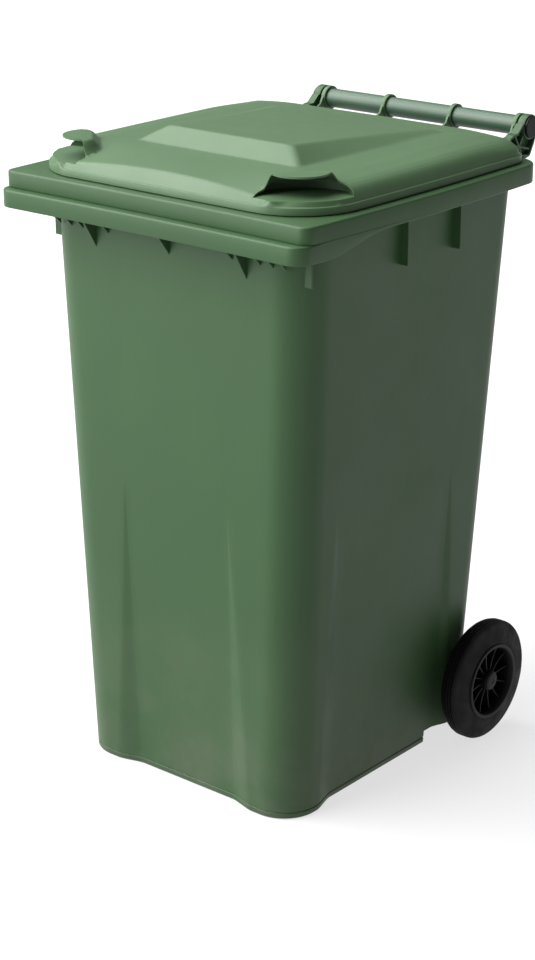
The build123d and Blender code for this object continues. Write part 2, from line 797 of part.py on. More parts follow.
# Wheel: a spoked rim with the latch's tower on its hub, a tyre and a hub cap
with BuildPart() as right_wheel_rim:
    revolve(ring_face(HUB_X, (AXLE_BORE_R, HUB_R)), axis=axle_axis)
    revolve(ring_face(WEB_X, (HUB_R - OVERLAP, BAND_R[0] + OVERLAP)), axis=axle_axis)
    revolve(ring_face(BAND_X, BAND_R), axis=axle_axis)
    revolve(ring_face((RIM_LIP_X, BAND_X[1]), (BAND_R[0], RIM_LIP_R)), axis=axle_axis)
    with BuildSketch(Plane.YZ.offset(WEB_X[1] - OVERLAP)) as spokes:
        with Locations((AXLE_Y, AXLE_Z)):
            with PolarLocations((HUB_R + BAND_R[0]) / 2, SPOKES):
                Rectangle(BAND_R[0] - HUB_R + OVERLAP, SPOKE_THICK)
    extrude(spokes.sketch, amount=SPOKE_OUTER_X - WEB_X[1] + OVERLAP)
    latch_bar(LATCH_TOWER_R, LATCH_TOWER_FOOT, LATCH_TOWER_TOP)
    latch_bar(PLUNGER_R + PLUNGER_GAP, 0, LATCH_BORE_TOP, Mode.SUBTRACT)

with BuildPart() as right_tyre:
    with BuildSketch(axle_plane) as tyre_face:
        with BuildLine():
            Polyline(*TYRE_PROFILE, close=True)
        make_face()
        with Locations(*[(x, TYRE_R) for x in TREAD_GROOVE_X]):
            Rectangle(TREAD_GROOVE_WIDTH, 2 * TREAD_GROOVE_DEPTH, mode=Mode.SUBTRACT)
    revolve(tyre_face.sketch, axis=axle_axis)

with BuildPart() as right_hub_cap:
    round_bar(AXLE_Y, AXLE_Z, CAP_SPIGOT_R, HUB_X[1] - CAP_SPIGOT, HUB_X[1])
    round_bar(AXLE_Y, AXLE_Z, CAP_R, HUB_X[1], HUB_X[1] + CAP_HEAD)
    chamfer(right_hub_cap.edges().group_by(Axis.X)[-1], PLUG_CHAMFER)

with BuildPart() as right_latch_plunger:
    latch_bar(PLUNGER_R, PLUNGER_TIP, PLUNGER_TOP)
    chamfer(right_latch_plunger.edges().group_by(Axis.Z)[0], PLUNGER_CHAMFER)

with BuildPart() as right_latch_spring:
    spring_bottom = AXLE_Z + PLUNGER_TOP + SPRING_END_GAP + SPRING_WIRE_R
    spring_height = LATCH_BORE_TOP - PLUNGER_TOP - 2 * SPRING_END_GAP - 2 * SPRING_WIRE_R
    with BuildLine() as spring_line:
        Helix(
            pitch=spring_height / SPRING_COILS,
            height=spring_height,
            radius=SPRING_R,
            center=(LATCH_X, AXLE_Y, spring_bottom),
        )
    with BuildSketch(Plane(origin=spring_line.line @ 0, z_dir=spring_line.line % 0)):
        Circle(SPRING_WIRE_R)
    sweep(is_frenet=True)

with BuildPart() as left_wheel_rim:
    mirror(right_wheel_rim.part, about=Plane.YZ)

with BuildPart() as left_tyre:
    mirror(right_tyre.part, about=Plane.YZ)

with BuildPart() as left_hub_cap:
    mirror(right_hub_cap.part, about=Plane.YZ)

with BuildPart() as left_latch_plunger:
    mirror(right_latch_plunger.part, about=Plane.YZ)

with BuildPart() as left_latch_spring:
    mirror(right_latch_spring.part, about=Plane.YZ)

# Labels and STEP files
pieces = {
    "container": container,
    "lid": lid,
    "handle_tube": handle_tube,
    "right_handle_plug": right_handle_plug,
    "left_handle_plug": left_handle_plug,
    "axle": axle,
    "right_axle_washer": right_axle_washer,
    "left_axle_washer": left_axle_washer,
    "right_wheel_rim": right_wheel_rim,
    "left_wheel_rim": left_wheel_rim,
    "right_tyre": right_tyre,
    "left_tyre": left_tyre,
    "right_hub_cap": right_hub_cap,
    "left_hub_cap": left_hub_cap,
    "right_latch_plunger": right_latch_plunger,
    "left_latch_plunger": left_latch_plunger,
    "right_latch_spring": right_latch_spring,
    "left_latch_spring": left_latch_spring,
}
for name, piece in pieces.items():
    piece.part.label = name
    export_step(piece.part, f"parts/{name}.step")
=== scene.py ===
import math

import bmesh
import bpy
import numpy as np
from mathutils import Matrix, Vector


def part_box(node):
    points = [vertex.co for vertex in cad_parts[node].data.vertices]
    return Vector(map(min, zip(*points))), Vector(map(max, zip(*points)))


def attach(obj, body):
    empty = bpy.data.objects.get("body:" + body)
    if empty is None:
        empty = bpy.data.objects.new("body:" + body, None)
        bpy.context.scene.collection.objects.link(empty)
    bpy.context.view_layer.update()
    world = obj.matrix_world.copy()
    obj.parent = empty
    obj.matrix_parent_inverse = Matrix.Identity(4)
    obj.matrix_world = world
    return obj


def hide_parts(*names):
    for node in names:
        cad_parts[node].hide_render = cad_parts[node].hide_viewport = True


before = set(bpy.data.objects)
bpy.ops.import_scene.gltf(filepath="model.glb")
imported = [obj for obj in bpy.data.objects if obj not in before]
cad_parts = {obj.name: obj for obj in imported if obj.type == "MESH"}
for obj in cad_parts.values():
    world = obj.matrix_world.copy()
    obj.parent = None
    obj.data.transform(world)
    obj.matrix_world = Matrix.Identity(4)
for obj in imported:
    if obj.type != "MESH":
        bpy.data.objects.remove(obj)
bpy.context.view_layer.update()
MM = 0.001
SIDES = ((1, "right"), (-1, "left"))


def box_mm(node):
    """A CAD node's lowest and highest corners, in millimetres."""
    return [[round(c / MM, 1) for c in corner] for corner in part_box(node)]


def axis_yz(node):
    """The Y and Z of the axis of a CAD node that is turned about X, in millimetres."""
    low, high = box_mm(node)
    return (low[1] + high[1]) / 2, (low[2] + high[2]) / 2


# ---------------------------------------------------------------- camera and light (metres)

CAMERA_LENS = 82.36
CAMERA_PLACE = (2.0837, -2.5567, 1.6447)
CAMERA_BACK = (0.6021, -0.7202, 0.3446)
LIGHT_TARGET = (0.0, 0.0, 0.6)
WORLD_STRENGTH = 0.25


def aim(obj, place, back):
    """Put obj at place, looking against back, and level from side to side."""
    back = Vector(back).normalized()
    right = Vector((0, 0, 1)).cross(back).normalized()
    up = back.cross(right)
    rows = [(right[i], up[i], back[i], place[i]) for i in range(3)]
    obj.matrix_world = Matrix(rows + [(0, 0, 0, 1)])


def area_light(name, place, size, power):
    """A soft rectangular light that looks at the middle of the object."""
    data = bpy.data.lights.new(name, "AREA")
    data.shape = "RECTANGLE"
    data.size = size[0]
    data.size_y = size[1]
    data.energy = power
    light = bpy.data.objects.new(name, data)
    bpy.context.scene.collection.objects.link(light)
    aim(light, place, Vector(place) - Vector(LIGHT_TARGET))


camera_data = bpy.data.cameras.new("camera")
camera_data.lens = CAMERA_LENS
camera_data.sensor_width = 36.0
camera = bpy.data.objects.new("camera", camera_data)
bpy.context.scene.collection.objects.link(camera)
aim(camera, CAMERA_PLACE, CAMERA_BACK)
bpy.context.scene.camera = camera
bpy.context.scene.view_settings.view_transform = "Standard"

area_light("key", (-3.2, -3.9, 3.5), (6.6, 6.0), 920)
area_light("top", (-2.2, -0.5, 5.2), (6.0, 6.0), 600)

world = bpy.data.worlds.new("studio")
bpy.context.scene.world = world
world.use_nodes = True
background = world.node_tree.nodes["Background"]
background.inputs["Color"].default_value = (1, 1, 1, 1)
background.inputs["Strength"].default_value = WORLD_STRENGTH

# ---------------------------------------------------------------- materials

DIRT = (0.13, 0.12, 0.10, 1.0)
RUBBER_DUST = (0.012, 0.012, 0.012, 1.0)
STEEL_DARK = (0.46, 0.47, 0.48, 1.0)
STEEL_LIGHT = (0.66, 0.66, 0.67, 1.0)
RUST = (0.30, 0.22, 0.16, 1.0)


class Shader:
    """A small builder for node materials."""

    def __init__(self, name):
        self.material = bpy.data.materials.new(name)
        self.material.use_nodes = True
        self.nodes = self.material.node_tree.nodes
        self.links = self.material.node_tree.links
        self.bsdf = self.nodes["Principled BSDF"]
        self.place = self.nodes.new("ShaderNodeTexCoord").outputs["Object"]

    def feed(self, value, socket):
        """Give a socket a number or a colour, or link it to another node's output."""
        if isinstance(value, (tuple, float, int)):
            socket.default_value = value
        else:
            self.links.new(value, socket)

    def surface(self, name, value):
        """Feed one of the surface's own sockets."""
        self.feed(value, self.bsdf.inputs[name])

    def stretched(self, scale):
        """The place, scaled on each axis, for a noise that is longer one way."""
        node = self.nodes.new("ShaderNodeMapping")
        node.inputs["Scale"].default_value = scale
        self.links.new(self.place, node.inputs["Vector"])
        return node.outputs[0]

    def noise(self, scale, detail=3.0, rough=0.5, vector=None):
        node = self.nodes.new("ShaderNodeTexNoise")
        node.inputs["Scale"].default_value = scale
        node.inputs["Detail"].default_value = detail
        node.inputs["Roughness"].default_value = rough
        self.links.new(vector or self.place, node.inputs["Vector"])
        return node.outputs["Fac"]

    def ramp(self, value, low, high, start=0.0, end=1.0):
        """The value's range from low to high, turned into start to end."""
        node = self.nodes.new("ShaderNodeMapRange")
        node.inputs["From Min"].default_value = low
        node.inputs["From Max"].default_value = high
        node.inputs["To Min"].default_value = start
        node.inputs["To Max"].default_value = end
        self.links.new(value, node.inputs["Value"])
        return node.outputs[0]

    def mix(self, factor, first, second):
        """A blend of two colours: inputs 6 and 7 of the node are its colour sockets."""
        node = self.nodes.new("ShaderNodeMix")
        node.data_type = "RGBA"
        for value, socket in ((factor, 0), (first, 6), (second, 7)):
            self.feed(value, node.inputs[socket])
        return node.outputs[2]

    def math(self, operation, first, second):
        node = self.nodes.new("ShaderNodeMath")
        node.operation = operation
        self.feed(first, node.inputs[0])
        self.feed(second, node.inputs[1])
        return node.outputs[0]

    def distance(self):
        """The distance from the object's origin."""
        node = self.nodes.new("ShaderNodeVectorMath")
        node.operation = "LENGTH"
        self.links.new(self.place, node.inputs[0])
        return node.outputs["Value"]

    def height(self):
        node = self.nodes.new("ShaderNodeSeparateXYZ")
        self.links.new(self.place, node.inputs[0])
        return node.outputs["Z"]

    def bump(self, value, strength, distance, under=None):
        """A normal from a height, laid over the normal under it if there is one."""
        node = self.nodes.new("ShaderNodeBump")
        node.inputs["Strength"].default_value = strength
        node.inputs["Distance"].default_value = distance
        self.links.new(value, node.inputs["Height"])
        if under is not None:
            self.links.new(under, node.inputs["Normal"])
        return node.outputs[0]


def shade(colour, factor):
    return tuple(min(1.0, c * factor) for c in colour) + (1.0,)


def moulded_plastic(name, colour, rough, dirt=0.0, grain=0.25, specular=0.5):
    """Injection-moulded plastic: flow streaks, cloudy gloss, fine grain, scuffs and dust."""
    s = Shader(name)
    cloud = s.ramp(s.noise(2.6, 4.0), 0.3, 0.7)
    tone = s.mix(cloud, shade(colour, 0.93), shade(colour, 1.06))
    streak = s.ramp(s.noise(1.0, 3.0, 0.55, s.stretched((26, 26, 2.2))), 0.35, 0.75, 0.0, 0.35)
    tone = s.mix(streak, tone, shade(colour, 0.86))
    speck = s.ramp(s.noise(420, 2.0), 0.66, 0.74, 0.0, 0.22)
    tone = s.mix(speck, tone, shade(colour, 1.35))
    scuff = s.ramp(s.noise(1.0, 5.0, 0.7, s.stretched((9, 9, 60))), 0.66, 0.76, 0.0, 0.10)
    tone = s.mix(scuff, tone, shade(colour, 2.2))
    if dirt:
        low = s.ramp(s.height(), 0.0, 0.34, 1.0, 0.0)
        patch = s.ramp(s.noise(7.0, 6.0, 0.65), 0.35, 0.7)
        tone = s.mix(s.math("MULTIPLY", s.math("MULTIPLY", low, patch), dirt), tone, DIRT)
    gloss = s.ramp(s.noise(5.5, 5.0, 0.6), 0.3, 0.7, rough - 0.05, rough + 0.07)
    fine = s.bump(s.noise(1500, 2.0), grain, 0.0003)
    wave = s.bump(s.noise(11, 2.0), 0.16, 0.004, fine)
    s.surface("Base Color", tone)
    s.surface("Roughness", s.math("ADD", gloss, s.math("MULTIPLY", scuff, 0.4)))
    s.surface("Specular IOR Level", specular)
    s.surface("Normal", wave)
    return s.material


def rubber(name, colour):
    """Dull rubber with dust in patches."""
    s = Shader(name)
    dust = s.ramp(s.noise(26, 5.0, 0.65), 0.45, 0.75, 0.0, 0.35)
    s.surface("Base Color", s.mix(dust, shade(colour, 1.0), RUBBER_DUST))
    s.surface("Roughness", s.ramp(s.noise(40, 4.0), 0.3, 0.7, 0.55, 0.78))
    s.surface("Specular IOR Level", 0.16)
    s.surface("Normal", s.bump(s.noise(650, 3.0), 0.35, 0.0006))
    return s.material


def steel(name):
    """Zinc-plated steel, brushed along X, with a few rusty spots."""
    s = Shader(name)
    brushed = s.noise(1.0, 3.0, 0.6, s.stretched((6, 500, 500)))
    tone = s.mix(s.ramp(brushed, 0.3, 0.7), STEEL_DARK, STEEL_LIGHT)
    spots = s.ramp(s.noise(60, 5.0, 0.7), 0.62, 0.72, 0.0, 0.6)
    s.surface("Base Color", s.mix(spots, tone, RUST))
    s.surface("Metallic", 1.0)
    s.surface("Roughness", s.ramp(brushed, 0.3, 0.7, 0.26, 0.42))
    s.surface("Normal", s.bump(brushed, 0.2, 0.0003))
    return s.material


def studio_floor(name):
    """A pale floor that glows a little more with distance, so that it fades to white."""
    s = Shader(name)
    s.surface("Base Color", s.mix(s.noise(0.8, 3.0), (0.21, 0.21, 0.21, 1), (0.23, 0.23, 0.23, 1)))
    s.surface("Roughness", 0.9)
    s.surface("Specular IOR Level", 0.1)
    s.surface("Emission Color", (1, 1, 1, 1))
    s.surface("Emission Strength", s.ramp(s.distance(), 1.0, 4.0, 0.68, 0.96))
    return s.material


body_green = moulded_plastic("body_green", (0.024, 0.060, 0.0215), 0.46, dirt=0.3, specular=0.25)
lid_green = moulded_plastic("lid_green", (0.052, 0.099, 0.047), 0.42, grain=0.12, specular=0.24)
handle_green = moulded_plastic("handle_green", (0.030, 0.064, 0.036), 0.44, grain=0.08, specular=0.4)
black_plastic = moulded_plastic("black_plastic", (0.0030, 0.0030, 0.0036), 0.50, grain=0.3, specular=0.18)
tyre_rubber = rubber("tyre_rubber", (0.0030, 0.0030, 0.0034))
zinc_steel = steel("zinc_steel")


def paint(obj, material):
    obj.data.materials.clear()
    obj.data.materials.append(material)


# ---------------------------------------------------------------- mesh helpers (millimetres in)


def mix(low, high, share):
    return low + (high - low) * share


def smoothstep(value, low, high):
    t = np.clip((np.asarray(value, float) - low) / (high - low), 0, 1)
    return t * t * (3 - 2 * t)


def soft_step(t):
    """A straight flank with short roundings at both ends."""
    return 0.55 * t + 0.45 * t * t * (3 - 2 * t)


def soft_min(a, b, k):
    """The lower of two values, rounded over a width of k where they meet."""
    h = np.clip(0.5 + 0.5 * (b - a) / k, 0, 1)
    return b * (1 - h) + a * h - k * h * (1 - h)


def soft_max(a, b, k):
    return -soft_min(-a, -b, k)


def spread(*stretches):
    """Even steps over stretches in a row, each given as (start, end, number)."""
    return np.concatenate([np.linspace(*stretch, endpoint=False) for stretch in stretches])


def make_object(name, vertices, faces, material, sharp=35.0):
    mesh = bpy.data.meshes.new(name)
    mesh.from_pydata([tuple(float(c) * MM for c in v) for v in vertices], [], faces)
    mesh.validate()
    bm = bmesh.new()
    bm.from_mesh(mesh)
    bmesh.ops.recalc_face_normals(bm, faces=bm.faces)
    bm.to_mesh(mesh)
    bm.free()
    obj = bpy.data.objects.new(name, mesh)
    bpy.context.scene.collection.objects.link(obj)
    smooth_by_angle(obj, sharp)
    paint(obj, material)
    return obj


def smooth_by_angle(obj, degrees):
    obj.data.polygons.foreach_set("use_smooth", [True] * len(obj.data.polygons))
    obj.data.set_sharp_from_angle(angle=math.radians(degrees))


def stack_faces(rings, count, loop):
    """Faces between rings of count points: the ends are joined in a loop, or else capped."""
    faces = []
    for k in range(rings if loop else rings - 1):
        low = k * count
        high = ((k + 1) % rings) * count
        for i in range(count):
            j = (i + 1) % count
            faces.append((low + i, low + j, high + j, high + i))
    if not loop:
        faces.append(tuple(reversed(range(count))))
        faces.append(tuple(range((rings - 1) * count, rings * count)))
    return faces


def stacked(name, rings, material, loop=False, sharp=35.0):
    """A closed mesh from rings of points, each ring an (n, 3) array."""
    faces = stack_faces(len(rings), len(rings[0]), loop)
    return make_object(name, np.concatenate(rings), faces, material, sharp)


def prism(name, points, axis, low, high, material):
    """A straight solid along an axis: points are the other two axes in X, Y, Z order."""
    rings = [np.insert(np.array(points, float), axis, value, axis=1) for value in (low, high)]
    return stacked(name, rings, material)


def box_mesh(name, low, high):
    corners = [(low[0], low[1]), (high[0], low[1]), (high[0], high[1]), (low[0], high[1])]
    return prism(name, corners, 2, low[2], high[2], body_green)


def circle(steps):
    """Angles round a full turn."""
    return np.linspace(0, 2 * math.pi, steps, endpoint=False)


def lathe(name, profile, centre, material, steps=128, sharp=35.0):
    """A ring turned about the X axis through centre = (y, z), from closed (x, radius) points."""
    angles = circle(steps)
    rings = []
    for x, radius in profile:
        y = centre[0] + radius * np.cos(angles)
        z = centre[1] + radius * np.sin(angles)
        rings.append(np.column_stack([np.full(steps, float(x)), y, z]))
    return stacked(name, rings, material, loop=True, sharp=sharp)


def boolean(obj, cutter, solver="MANIFOLD"):
    """Cut the cutter's space out of obj and drop the cutter."""
    modifier = obj.modifiers.new("cut", "BOOLEAN")
    modifier.operation = "DIFFERENCE"
    modifier.object = cutter
    modifier.solver = solver
    modifier.use_self = solver == "EXACT"
    bpy.context.view_layer.update()
    depsgraph = bpy.context.evaluated_depsgraph_get()
    mesh = bpy.data.meshes.new_from_object(obj.evaluated_get(depsgraph))
    obj.modifiers.clear()
    old = obj.data
    obj.data = mesh
    bpy.data.meshes.remove(old)
    bpy.data.objects.remove(cutter)


def bevel(obj, width):
    modifier = obj.modifiers.new("edges", "BEVEL")
    modifier.width = width * MM
    modifier.segments = 2
    modifier.limit_method = "ANGLE"
    modifier.angle_limit = math.radians(30)
    modifier.harden_normals = True


def joined(name, objects):
    """One object from several that share a material."""
    bm = bmesh.new()
    for obj in objects:
        bm.from_mesh(obj.data)
    material = objects[0].data.materials[0]
    mesh = bpy.data.meshes.new(name)
    bm.to_mesh(mesh)
    bm.free()
    for obj in objects:
        bpy.data.objects.remove(obj)
    result = bpy.data.objects.new(name, mesh)
    bpy.context.scene.collection.objects.link(result)
    paint(result, material)
    smooth_by_angle(result, 35)
    return result


EDGE_POINTS = 44
ARC_POINTS = 14
HOLLOW_FADE = (30.0, 110.0)


def outline(size, edges=None, bow=0.0, hollow=0.0, edge_points=EDGE_POINTS, arc_points=ARC_POINTS):
    """A rounded rectangle as (x, y) points, always in the same order and number.

    size is its half width, front, rear, front corner radius and rear corner radius. edges gives the
    X places along the front and the Y places along the sides, if they aren't even steps. bow swells
    the sides, and hollow pushes the front's middle in."""
    half_width, front, rear, front_r, rear_r = size
    front_x, front_y = half_width - front_r, front + front_r
    rear_x, rear_y = half_width - rear_r, rear - rear_r
    along_front = np.linspace(-front_x, front_x, edge_points, endpoint=False)
    along_side = np.linspace(front_y, rear_y, edge_points, endpoint=False)
    if edges is not None:
        along_front, along_side = edges
    along_rear = np.linspace(rear_x, -rear_x, edge_points, endpoint=False)
    arc = np.linspace(0, math.pi / 2, arc_points, endpoint=False)

    def corner(x, y, radius, start):
        return np.column_stack([x + radius * np.cos(start + arc), y + radius * np.sin(start + arc)])

    def edge(x, y):
        return np.column_stack(np.broadcast_arrays(x, y))

    points = np.concatenate(
        [
            edge(along_front, front),
            corner(front_x, front_y, front_r, -math.pi / 2),
            edge(half_width, along_side),
            corner(rear_x, rear_y, rear_r, 0.0),
            edge(along_rear, rear),
            corner(-rear_x, rear_y, rear_r, math.pi / 2),
            edge(-half_width, np.append(along_side[1:], rear_y)[::-1]),
            corner(-front_x, front_y, front_r, math.pi),
        ]
    )
    along = (points[:, 1] - (front + rear) / 2) / ((rear - front) / 2)
    points[:, 0] *= 1 + bow / half_width * (1 - along**2)
    near_front = 1 - smoothstep(points[:, 1], front + HOLLOW_FADE[0], front + HOLLOW_FADE[1])
    points[:, 1] += hollow * near_front * (1 - (points[:, 0] / half_width) ** 2)
    return points


def at_height(points, z):
    return np.column_stack([points, np.broadcast_to(z, len(points))])


def at_levels(ring, levels):
    """Rings at several levels, each given as (inset, height), from a function of the inset."""
    return [at_height(ring(inset), z) for inset, z in levels]


# ---------------------------------------------------------------- container: tub

WALL = 4.0
RIM_TOP = 951.0
TUB_FOOT = np.array((218.0, -273.0, 188.0))  # half width, front and rear on the ground
TUB_MOUTH = np.array((256.0, -288.0, 237.0))  # the same at the rim's top
TUB_FRONT_R = 60.0
TUB_REAR_R = 45.0

# The recesses: each edge's place at their upper end and on the ground
RECESS_TOP = 487.0
RECESS_DEPTH = 11.0
FRONT_OUTER = (104.0, 139.0)
FRONT_INNER = (103.0, 95.0)
SIDE_FRONT_OUTER = (-190.0, -204.0)
SIDE_FRONT_INNER = (-184.0, -161.0)
SIDE_REAR_INNER = (96.0, 104.0)
SIDE_REAR_OUTER = (100.0, 137.0)
ON_EDGE = 0.01

# A rounded foot and the thin groove above it, as (height, inset)
FOOT_LEVELS = [(0.0, 3.0), (1.0, 1.2), (3.0, 0.0), (9.6, 0.0), (10.4, 1.1), (11.6, 1.1), (12.4, 0.0)]

# The base behind: a step, the axle bay in its middle, and an open pocket beside the bay
STEP_FRONT = 85.0
STEP_TOP = 22.0
BAY_FRONT = 128.0
BAY_TOP = 150.0
BAY_HALF = 150.0
POCKET_X = (154.0, 196.0)
POCKET_REAR = 184.0
FAR = 300.0
BELOW = -5.0


def tub_size(z, inset):
    """The tub's size at a height, moved inwards by inset, as outline takes it."""
    half_width, front, rear = mix(TUB_FOOT, TUB_MOUTH, z / RIM_TOP)
    return half_width - inset, front + inset, rear - inset, TUB_FRONT_R - inset, TUB_REAR_R - inset


def tub_ring(z, inset):
    """One level of the tub's wall, with the recesses pressed into its lower half."""
    size = tub_size(z, inset)
    half_width, front, rear, front_r, rear_r = size
    fade = np.clip(1 - z / RECESS_TOP, 0, 1)
    outer, inner = mix(*FRONT_OUTER, fade), mix(*FRONT_INNER, fade)
    low_outer, low_inner = mix(*SIDE_FRONT_OUTER, fade), mix(*SIDE_FRONT_INNER, fade)
    high_inner, high_outer = mix(*SIDE_REAR_INNER, fade), mix(*SIDE_REAR_OUTER, fade)
    end = half_width - front_r
    along_front = spread(
        (-end, -outer, 6), (-outer, -inner, 8), (-inner, inner, 16), (inner, outer, 8), (outer, end, 6)
    )
    along_side = spread(
        (front + front_r, low_outer, 4),
        (low_outer, low_inner, 10),
        (low_inner, high_inner, 14),
        (high_inner, high_outer, 10),
        (high_outer, rear - rear_r, 6),
    )
    points = outline(size, (along_front, along_side))
    depth = RECESS_DEPTH * fade
    on_front = np.abs(points[:, 1] - front) < ON_EDGE
    share_in = 1 - np.clip((np.abs(points[:, 0]) - inner) / (outer - inner), 0, 1)
    points[:, 1] += np.where(on_front, depth * soft_step(share_in), 0)
    on_side = np.abs(np.abs(points[:, 0]) - half_width) < ON_EDGE
    low_in = np.clip((points[:, 1] - low_outer) / (low_inner - low_outer), 0, 1)
    high_in = np.clip((high_outer - points[:, 1]) / (high_outer - high_inner), 0, 1)
    press = depth * soft_step(np.minimum(low_in, high_in))
    points[:, 0] -= np.where(on_side, np.sign(points[:, 0]) * press, 0)
    return points


def tub_solid(name, levels):
    """The tub's form as a solid through levels of (height, inset)."""
    return stacked(name, [at_height(tub_ring(z, inset), z) for z, inset in levels], body_green)


outer_heights = np.concatenate([np.linspace(18, RECESS_TOP, 44), np.linspace(520, 948, 22)])
inner_heights = np.concatenate([(5.0, 12.0), np.linspace(30, RECESS_TOP, 24), np.linspace(540, 960, 14)])
tub = tub_solid("tub", FOOT_LEVELS + [(z, 0.0) for z in outer_heights])
hollow = tub_solid("hollow", [(z, WALL) for z in inner_heights])
boolean(tub, box_mesh("cutter", (-FAR, STEP_FRONT, BELOW), (FAR, FAR, STEP_TOP)))
boolean(tub, box_mesh("cutter", (-BAY_HALF, BAY_FRONT, BELOW), (BAY_HALF, FAR, BAY_TOP)))
boolean(hollow, box_mesh("cutter", (-FAR, STEP_FRONT - WALL, BELOW), (FAR, FAR, STEP_TOP + WALL)))
boolean(hollow, box_mesh("cutter", (-FAR, BAY_FRONT - WALL, BELOW), (FAR, FAR, BAY_TOP + WALL)))
for side in (1, -1):
    x_low, x_high = sorted(side * x for x in POCKET_X)
    boolean(tub, box_mesh("cutter", (x_low, BAY_FRONT, BELOW), (x_high, POCKET_REAR, BAY_TOP)))
boolean(tub, hollow)
smooth_by_angle(tub, 32)
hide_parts("container")
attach(tub, "container")

# ---------------------------------------------------------------- container: collar

COLLAR_HALF = 290.0
COLLAR_REAR = 240.0
COLLAR_REAR_R = 38.0
UPPER_FRONT = -330.0
UPPER_FRONT_R = 16.0
BAND_FRONT = -346.0
BAND_FRONT_R = 24.0
COLLAR_BOW = 8.5
COLLAR_HOLLOW = 4.0
LEDGE_FADE = (-324.0, -304.0)
LEDGE_UNDERSIDE = 921.4
RIM_UNDERSIDE = RIM_TOP - WALL
SKIRT_FRONT = 899.0
SKIRT_SIDE = 921.5
SKIRT_RISE = (-292.0, -158.0)

# Levels as (inset, height), in the order in which they follow each other round the section
MOUTH_LIP = ((3.6, 946.0), (3.6, 949.5), (4.0, 950.6), (5.0, 951.0))
OUTER_LIP = ((3.2, 951.0), (1.6, 950.6), (0.5, 949.6), (0.0, 948.0))
LEDGE_ABOVE = ((0.0, 927.8), (0.25, 926.6), (0.9, 926.0))
LEDGE_BELOW = ((2.4, 925.6), (1.1, 925.2), (0.3, 924.2), (0.0, 922.9))
SKIRT_LIP = ((0.0, 1.4), (0.5, 0.4), (1.7, 0.0), (3.1, 0.4), (4.0, 1.6))
INNER_WALL = ((WALL, 923.3), (WALL, RIM_UNDERSIDE))
INNER_TOP = ((1.5, RIM_UNDERSIDE),)


def collar_ring(inset, front, front_r):
    size = (COLLAR_HALF - inset, front + inset, COLLAR_REAR - inset, front_r - inset, COLLAR_REAR_R - inset)
    return outline(size, bow=COLLAR_BOW, hollow=COLLAR_HOLLOW)


def upper_ring(inset):
    """The collar above the comb band."""
    return collar_ring(inset, UPPER_FRONT, UPPER_FRONT_R)


def band_ring(inset):
    """The comb band, which stands further forward."""
    return collar_ring(inset, BAND_FRONT, BAND_FRONT_R)


def mouth_ring(z):
    """The tub's mouth at a height, as a function of the inset."""
    return lambda inset: outline(tub_size(z, inset))


def fading(ring):
    """The same rings with insets that fade out behind the front corners."""
    in_front = 1 - smoothstep(band_ring(0.0)[:, 1], *LEDGE_FADE)
    return lambda inset: mix(ring(0.0), ring(inset), in_front[:, None])


skirt_bottom = mix(SKIRT_FRONT, SKIRT_SIDE, smoothstep(band_ring(0.0)[:, 1], *SKIRT_RISE))
collar_rings = at_levels(mouth_ring(RIM_TOP), MOUTH_LIP)
collar_rings += at_levels(upper_ring, OUTER_LIP)
collar_rings += at_levels(fading(upper_ring), LEDGE_ABOVE)
collar_rings += at_levels(fading(band_ring), LEDGE_BELOW)
collar_rings += at_levels(band_ring, [(inset, skirt_bottom + up) for inset, up in SKIRT_LIP])
collar_rings += at_levels(band_ring, [(WALL, np.maximum(skirt_bottom + 1.7, LEDGE_UNDERSIDE))])
collar_rings += at_levels(upper_ring, INNER_WALL)
collar_rings += at_levels(mouth_ring(RIM_UNDERSIDE), INNER_TOP)
collar = stacked("collar", collar_rings, body_green, loop=True, sharp=50)
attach(collar, "container")

# ---------------------------------------------------------------- container: ribs under the collar

RIB_TOP = 948.0
RIB = 4.0


def rib_yz(points, x_low, x_high, material=body_green):
    """A rib from its outline seen from the side."""
    return prism("rib", points, 0, x_low, x_high, material)


def rib_xz(side, points, y):
    """A rib across the bin from its outline seen from the front, on one side of the bin."""
    return prism("rib", [(side * px, pz) for px, pz in points], 1, y, y + RIB, body_green)


def tooth(x, foot, shoulder):
    """A comb tooth: its foot is low at the wall, and its shoulder rises to the comb band."""
    points = [(-286, foot), (-286, RIB_TOP), (-325, RIB_TOP), (-325, 923), (-317, shoulder)]
    return rib_yz(points, x - RIB / 2, x + RIB / 2)


SIDE_FIN = [(250, 844), (266, 844), (267, 845), (267, 923), (292, 923), (292, RIB_TOP), (250, RIB_TOP)]
CORNER_FIN = [(225, RIB_TOP - 100), (249, RIB_TOP - 100), (249, RIB_TOP), (225, RIB_TOP)]

ribs = [tooth(x, foot, 899) for x, foot in ((-146, 848), (0, 860), (146, 848))]
ribs += [tooth(side * x, 872, 903) for x in (120, 172, 195, 218) for side in (1, -1)]
for side in (1, -1):
    ribs += [rib_xz(side, SIDE_FIN, y) for y in (-69, 61)]
    ribs.append(rib_xz(side, CORNER_FIN, -267))
collar_ribs = joined("collar_ribs", ribs)
bevel(collar_ribs, 0.9)
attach(collar_ribs, "container")

# ---------------------------------------------------------------- container: handle brackets

HANDLE = axis_yz("handle_tube")
RING_IN = 15.7
RING_OUT = 19.7
RING_HOLE = 16.4
RING_EDGE = 0.8
BRACKET_X = (197.0, 210.0)
WEB_X = (197.0, 201.0)
BRACKET = [
    (236, 950), (246, 951), (260, 957), (272, 967.5), (280, 971.5), (291, 972.5), (306, 985.5),
    (326, 979.5), (344.8, 975.5), (336, 953.5), (326, 935.5), (250, 921), (236, 921),
]
STRUTS = [
    ((270, 959.5), (324, 945.5)), ((252, 943), (320, 935.5)), ((284, 970.5), (302, 943)),
    ((306, 967.5), (280, 931)), ((262, 955), (256, 925)),
]
BORDER_WIDTH = 3.5
STRUT_WIDTH = 3.0


